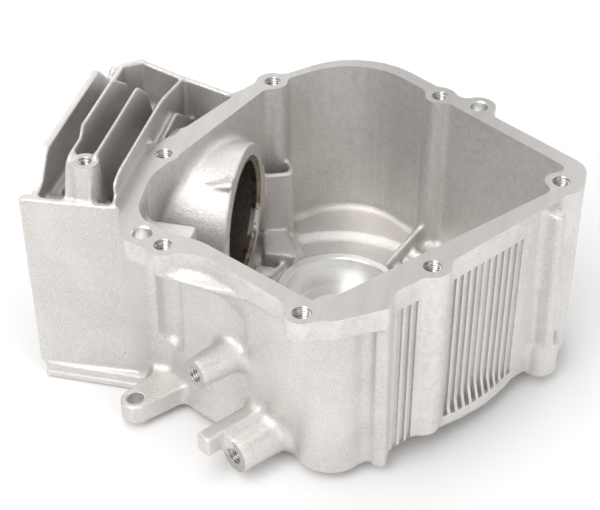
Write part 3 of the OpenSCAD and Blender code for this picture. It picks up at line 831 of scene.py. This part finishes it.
def edge_wear_inside(n, position, scale):
    """Where the surface turns sharply outwards, broken up by noise, and, for painted shade, where it turns inwards.
    """
    sharp = n.add("ShaderNodeNewGeometry").outputs["Pointiness"]
    broken = n.noise(position, scale)
    return {
        "Mask": n.times(n.ramp(sharp, 0.505, 0.56), n.ramp(broken, 0.3, 0.6)),
        "Hollow": n.ramp(sharp, 0.495, 0.44),
    }


def tool_marks_inside(n, position, scale):
    """Fine cutter lines and a slow tone change; the lines run where the position is squeezed."""
    return {"Height": n.noise(position, scale, rough=0.7), "Tone": n.noise(position, n.times(scale, 0.12))}


def make_groups():
    """The effects that several finishes share."""
    return {
        "grain": group("cast_grain", 1400.0, ("Height", "Tone", "Speck", "Pits"), cast_grain_inside),
        "wear_and_shade": group("edge_wear", 260.0, ("Mask", "Hollow"), edge_wear_inside),
        "marks": group("tool_marks", 900.0, ("Height", "Tone"), tool_marks_inside),
    }


# Finishes


def material(name, draw=None, **constants):
    """A material on the Principled shader: draw(n, position) gives its colour, roughness and, if it has one,
    normal, and constants are set on the shader."""
    made = bpy.data.materials.new(name)
    made.use_nodes = True
    shader = made.node_tree.nodes["Principled BSDF"]
    for label, value in constants.items():
        shader.inputs[label.replace("_", " ")].default_value = value
    if draw:
        n = Nodes(made.node_tree)
        position = n.add("ShaderNodeTexCoord").outputs["Object"]
        for label, output in zip(("Base Color", "Roughness", "Normal"), draw(n, position)):
            n.link(output, shader.inputs[label])
    return made


def cast_metal(groups):
    """Raw die-cast aluminium: light and a little warm, sparkling grain, painted shade between the fins and in the
    creases.
    """

    def draw(n, position):
        grain = n.use(groups["grain"], Position=position, Scale=1500.0)
        wear_and_shade = n.use(groups["wear_and_shade"], Position=position)
        recess = n.add("ShaderNodeAttribute", attribute_name="recess").outputs["Fac"]
        colour = n.mix(n.ramp(grain["Tone"], 0.35, 0.68), CAST_DARK, CAST_LIGHT)
        colour = n.mix(n.ramp(grain["Speck"], 0.45, 1.0, 0.0, 0.42), colour, GRAIN_LIGHT)
        colour = n.mix(n.ramp(grain["Speck"], 0.45, 0.0, 0.0, 0.32), colour, GRAIN_DARK)
        # Painted shade between the fins, darkest where least sky is seen
        colour = n.mix(n.times(recess, 0.34), colour, PAINTED_SHADE_DARK)
        # Painted shade in the creases, where the surface turns inwards
        colour = n.mix(n.times(wear_and_shade["Hollow"], 0.35), colour, CREASE_SHADE)
        colour = n.mix(n.times(wear_and_shade["Mask"], 0.55), colour, WORN_EDGE)
        colour = n.mix(n.times(grain["Pits"], 0.8), colour, PIT_DARK)
        height = n.math("SUBTRACT", grain["Height"], n.times(grain["Pits"], 1.5))
        return colour, n.ramp(grain["Tone"], 0.3, 0.7, 0.50, 0.40), n.bump(height, distance=0.00038)

    return material("cast_aluminium", draw, Metallic=0.82)


def milled_metal(groups):
    """The gasket face: flat, fine cutter lines across it, small dark nicks and stains."""

    def draw(n, position):
        along = n.mapping(position, scale=(1, 0.05, 1), turn=(0, 0, math.radians(38)))
        marks = n.use(groups["marks"], Position=along, Scale=2200.0)
        grain = n.use(groups["grain"], Position=position, Scale=900.0)
        colour = n.mix(n.ramp(marks["Tone"], 0.3, 0.7), MILLED_DARK, MILLED_LIGHT)
        colour = n.mix(n.ramp(grain["Tone"], 0.58, 0.74, 0.0, 0.30), colour, MILLED_STAIN)
        colour = n.mix(n.times(grain["Pits"], 0.9), colour, MILLED_PIT)
        lines = marks["Height"]
        return colour, n.ramp(lines, 0.3, 0.7, 0.30, 0.42), n.bump(lines, distance=0.00004, strength=0.5)

    return material("milled_aluminium", draw, Metallic=0.9)


def turned_metal():
    """Bored and faced surfaces: bright, with fine rings round the crank axis."""

    def draw(n, position):
        x, y, z = n.split(position)
        radius = n.math("SQRT", n.math("ADD", n.times(x, x), n.times(y, y)))
        ring = n.join(radius, z)
        rings = n.noise(ring, scale=2600.0, rough=0.7)
        colour = n.mix(n.ramp(n.noise(ring, scale=420.0), 0.3, 0.7), TURNED_DARK, TURNED_LIGHT)
        stain = n.noise(position, scale=60.0, detail=3.0)
        colour = n.mix(n.ramp(stain, 0.58, 0.72, 0.0, 0.4), colour, TURNED_STAIN)
        return colour, n.ramp(rings, 0.3, 0.7, 0.30, 0.42), n.bump(rings, distance=0.00005, strength=0.5)

    return material("turned_aluminium", draw, Metallic=1.0)


def drilled_metal(groups):
    """Inside the tapped holes: a little darker than the bored faces, so that each thread shows."""

    def draw(n, position):
        marks = n.use(groups["marks"], Position=position, Scale=1200.0)
        colour = n.mix(n.ramp(marks["Tone"], 0.3, 0.7), DRILLED_DARK, DRILLED_LIGHT)
        return colour, n.ramp(marks["Height"], 0.3, 0.7, 0.22, 0.34)

    return material("drilled_aluminium", draw, Metallic=1.0)


def honed_iron():
    """The liner: dark brown-grey iron with crossed honing lines, and a band at its open end that is rusty,
    with a painted highlight in a ragged strip low down."""

    def draw(n, position):
        x, y, z = n.split(position)
        angle = n.math("ARCTAN2", y, n.math("SUBTRACT", z, BORE_Z * MM))
        around = n.times(angle, BORE_R * MM)
        lines = []
        for slope in (HONE_SLOPE, -HONE_SLOPE):
            across = n.math("ADD", x, n.times(around, slope))
            line = n.join(across, n.times(around, HONE_STRETCH))
            lines.append(n.noise(line, scale=2400.0, rough=0.75))
        hone = n.math("MAXIMUM", *lines)
        rust = n.noise(position, scale=170.0, detail=4.0, rough=0.7)
        band_start = BARREL_END_X - BAND_LEN
        band_share = n.ramp(x, (band_start - BAND_EDGE) * MM, band_start * MM)
        level = n.math("ADD", z, n.times(n.math("SUBTRACT", rust, 0.5), HIGHLIGHT_RAGGED * MM))
        highlight_top, highlight_foot = (n.ramp(level, a * MM, b * MM) for a, b in (HIGHLIGHT_TOP, HIGHLIGHT_FOOT))
        band = n.mix(n.ramp(rust, 0.45, 0.60), BAND_IRON, BAND_RUST)
        # Painted highlight: a ragged bright strip across the lower part of the band
        band = n.mix(n.times(highlight_top, highlight_foot), band, BAND_HIGHLIGHT)
        colour = n.mix(n.ramp(hone, 0.45, 0.75), HONED_DARK, HONED_LIGHT)
        colour = n.mix(band_share, colour, band)
        return colour, n.ramp(hone, 0.4, 0.75, 0.40, 0.28), n.bump(hone, distance=0.00005, strength=0.6)

    return material("honed_iron", draw, Metallic=0.9)


def amber_sealant():
    """Dried amber sealant, glossy, its tone and gloss changing in patches."""

    def draw(n, position):
        tone = n.noise(position, scale=300.0)
        return n.mix(n.ramp(tone, 0.35, 0.65), AMBER_DARK, AMBER_LIGHT), n.ramp(tone, 0.3, 0.7, 0.16, 0.30)

    return material("amber_sealant", draw)


# Pieces


def from_axis(points, foot, axis):
    """How far along an axis each point lies from its foot, and how far away from the axis, in mm."""
    axis = np.asarray(axis, float)
    offset = points - np.asarray(foot, float)
    along = offset @ axis
    return along, np.linalg.norm(offset - along[:, None] * axis, axis=1)


def paint_casting(casting, finishes):
    """Gives each face its finish by where it lies: milled on the gasket, head and boss faces, bored in the
    bearing and dowel holes, drilled in the tapped holes, and as cast elsewhere."""
    mesh = casting.data
    mesh.materials.clear()
    for finish in finishes:
        mesh.materials.append(finish)
    n = len(mesh.polygons)
    centre, normal = np.empty(n * 3), np.empty(n * 3)
    mesh.polygons.foreach_get("center", centre)
    mesh.polygons.foreach_get("normal", normal)
    centre, normal = centre.reshape(-1, 3) / MM, normal.reshape(-1, 3)
    x, y, z = centre.T
    slot = np.full(n, AS_CAST, np.int32)
    slot[(np.abs(z - GASKET_Z) < ON_FACE) & (normal[:, 2] > FACING)] = MILLED
    slot[(np.abs(x - DECK_X) < ON_FACE) & (normal[:, 0] < -FACING)] = MILLED
    reach, seal_top = np.hypot(x, y), REST_Z + SEAL_FACE
    slot[(reach < BOSS_TOP_R + BORED_EDGE) & (z < BORED_TOP_Z) & (z > seal_top)] = BORED
    slot[(reach < SEAL_BOSS_R) & (z < seal_top)] = BORED
    for place, axis, core, depth in threaded_holes():
        along, away = from_axis(centre, place, axis)
        slot[(away < core + TAPPED_EDGE) & (along > -depth - TIP_ROOM) & (along < -ON_FACE)] = DRILLED
    for hole in DOWEL_HOLES:
        along, away = from_axis(centre, (*hole, GASKET_Z), UP)
        slot[(away < DOWEL_R + BORE_OVER + DOWEL_MOUTH) & (along < -ON_FACE) & (along > -DOWEL_FLOOR)] = BORED
    for place, axis, radius, _ in faced_bosses():
        along, away = from_axis(centre, place, axis)
        slot[(away < radius) & (np.abs(along - FACE_PROUD) < FACE_BAND)] = MILLED
    mesh.polygons.foreach_set("material_index", slot)
    mesh.polygons.foreach_set("use_smooth", np.ones(n, bool))
    mesh.set_sharp_from_angle(angle=SHARP_ANGLE)


def sealant_bead(finish):
    """A bead of sealant along the back edge of the floor block: rings of radius = even part + sine wave +
    lumps, tapered to both ends, across a line through the path's points."""
    path = np.array(BEAD_PATH)
    end = len(path) - 1
    t = np.linspace(0, end, BEAD_RINGS)
    line = np.stack([np.interp(t, np.arange(len(path)), path[:, k]) for k in range(3)], -1)
    radius = BEAD_R + BEAD_WAVE * np.sin(t * BEAD_WAVE_TURNS)
    for place, height, sharpness in BEAD_LUMPS:
        radius += height * np.exp(-((t - place) ** 2) * sharpness)
    radius *= np.clip(np.minimum(t, end - t) * BEAD_TAPER + BEAD_TIP, 0, 1)
    ring = circle(np.array([0, 1, 0]), np.array([0, 0, 1]), BEAD_SEGMENTS)
    bead = new_mesh("sealant_bead", *capped(line[:, None] + radius[:, None, None] * ring, line[[0, -1]]))
    bead.data.polygons.foreach_set("use_smooth", np.ones(len(bead.data.polygons), bool))
    bead.data.materials.append(finish)
    return bead


# Studio


def light_studio(scene):
    """Soft white light from all round, and five square lamps aimed at the block."""
    scene.view_settings.view_transform = "Standard"
    scene.view_settings.look = "None"
    scene.view_settings.exposure = 0.0
    world = bpy.data.worlds.new("studio")
    world.use_nodes = True
    sky = world.node_tree.nodes["Background"].inputs
    sky["Color"].default_value = (1, 1, 1, 1)
    sky["Strength"].default_value = SKY_STRENGTH
    scene.world = world
    for name, place, size, power in LAMPS:
        light = bpy.data.lights.new(name, "AREA")
        light.shape = "SQUARE"
        light.size = size
        light.energy = power
        lamp = bpy.data.objects.new(name, light)
        lamp.location = place
        lamp.rotation_mode = "QUATERNION"
        lamp.rotation_quaternion = (Vector(LAMP_AIM) - Vector(place)).to_track_quat("-Z", "Y")
        scene.collection.objects.link(lamp)


def lay_floor():
    """A pale floor under the block."""
    h, z = FLOOR_HALF, REST_Z * MM
    floor = new_mesh("floor", np.array([(-h, -h, z), (h, -h, z), (h, h, z), (-h, h, z)]), np.array([(0, 1, 2, 3)]))
    floor.data.materials.append(material("paper", Base_Color=PAPER, Roughness=0.9))


def set_camera(scene):
    """The camera of the photograph: its matrix has its right, up and backward directions as columns."""
    data = bpy.data.cameras.new("camera")
    data.sensor_fit = "HORIZONTAL"
    data.sensor_width = SENSOR_MM
    data.lens = LENS_MM
    data.clip_start, data.clip_end = CAMERA_CLIP
    camera = bpy.data.objects.new("camera", data)
    columns = zip(CAMERA_RIGHT, CAMERA_UP, [-v for v in CAMERA_AHEAD], CAMERA_PLACE)
    camera.matrix_world = Matrix([*columns, (0, 0, 0, 1)])
    scene.collection.objects.link(camera)
    scene.camera = camera


def write_sizes():
    """Brings the scene's matrices up to date."""
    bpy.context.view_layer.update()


def main():
    groups = make_groups()
    casting = cast_blank()
    cut_grooves(casting)
    machine(casting)
    casting.name = "casting"
    paint_casting(casting, [cast_metal(groups), milled_metal(groups), turned_metal(), drilled_metal(groups)])
    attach(casting, "root")
    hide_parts("block_casting")

    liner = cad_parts["cylinder_liner"]
    liner.data.materials.clear()
    liner.data.materials.append(honed_iron())

    bead = sealant_bead(amber_sealant())
    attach(bead, "root")

    light_studio(bpy.context.scene)
    lay_floor()
    set_camera(bpy.context.scene)
    write_sizes()


main()
